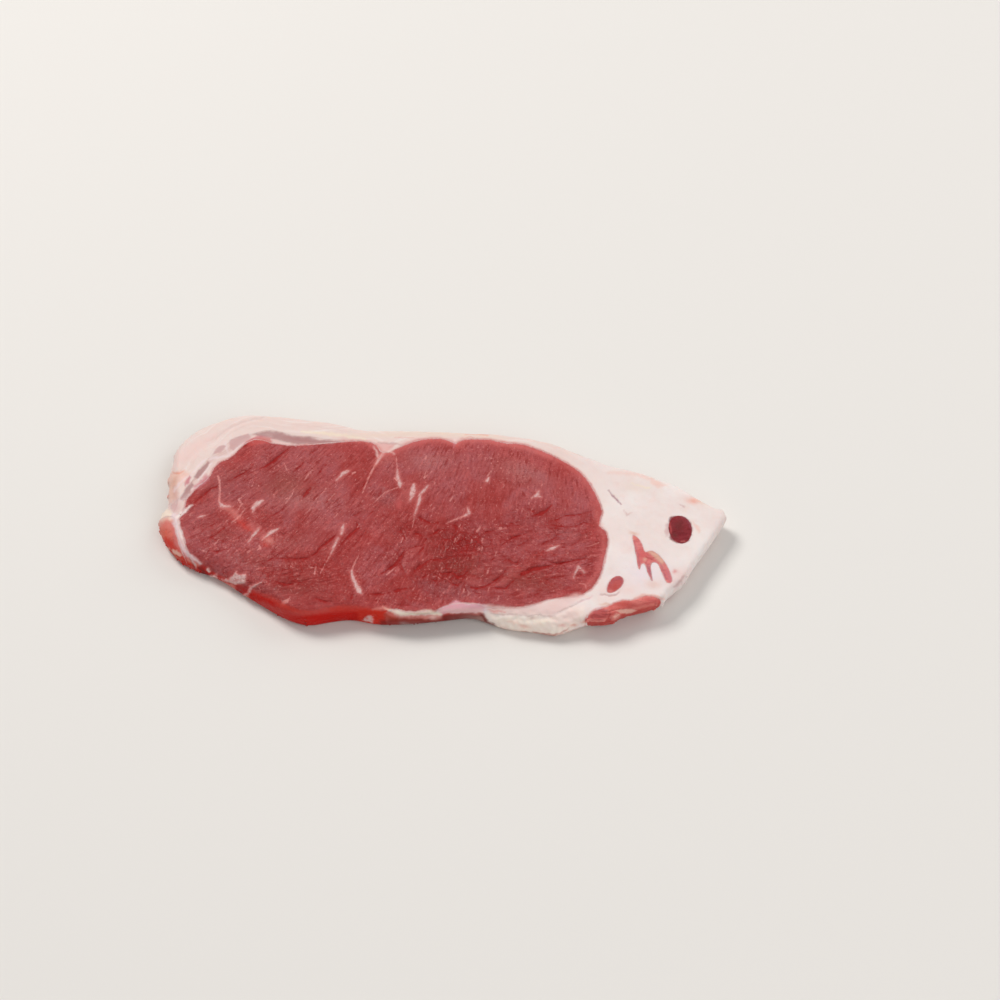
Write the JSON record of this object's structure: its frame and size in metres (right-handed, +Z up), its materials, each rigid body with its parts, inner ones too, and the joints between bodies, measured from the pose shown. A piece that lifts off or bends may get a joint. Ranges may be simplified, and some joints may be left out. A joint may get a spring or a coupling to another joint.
{
  "type": "new york strip steak",
  "caption": "Raw boneless strip loin steak lying flat, with a thick fat cap, a silverskin band and a fatty tail round one long oval muscle.",
  "frame": {"origin": "middle of the bounding box, on the face that the steak lies on", "axes": "+X along the steak towards the tip of the fatty tail, +Y across it towards the fat cap, +Z up out of the cut face"},
  "size_m": [0.2458, 0.1124, 0.0126],
  "materials": {
    "lean": "moist raw beef, marbled, satin with small wet glints",
    "pale_lean": "moist pale pink meat streaked with fat",
    "dark_lean": "moist deep red meat",
    "gristle": "translucent mauve silverskin, smooth and wet",
    "fat": "cool creamy white fat, waxy, faintly pink"
  },
  "bodies": {
    "root": {"eye_muscle": "lean", "silverskin": "gristle", "side_muscle": "lean", "flank_muscle": "lean", "branch_muscle": "pale_lean", "round_muscle": "dark_lean", "oval_muscle": "lean", "fat_cap": "fat"}
  },
  "joints": []
}
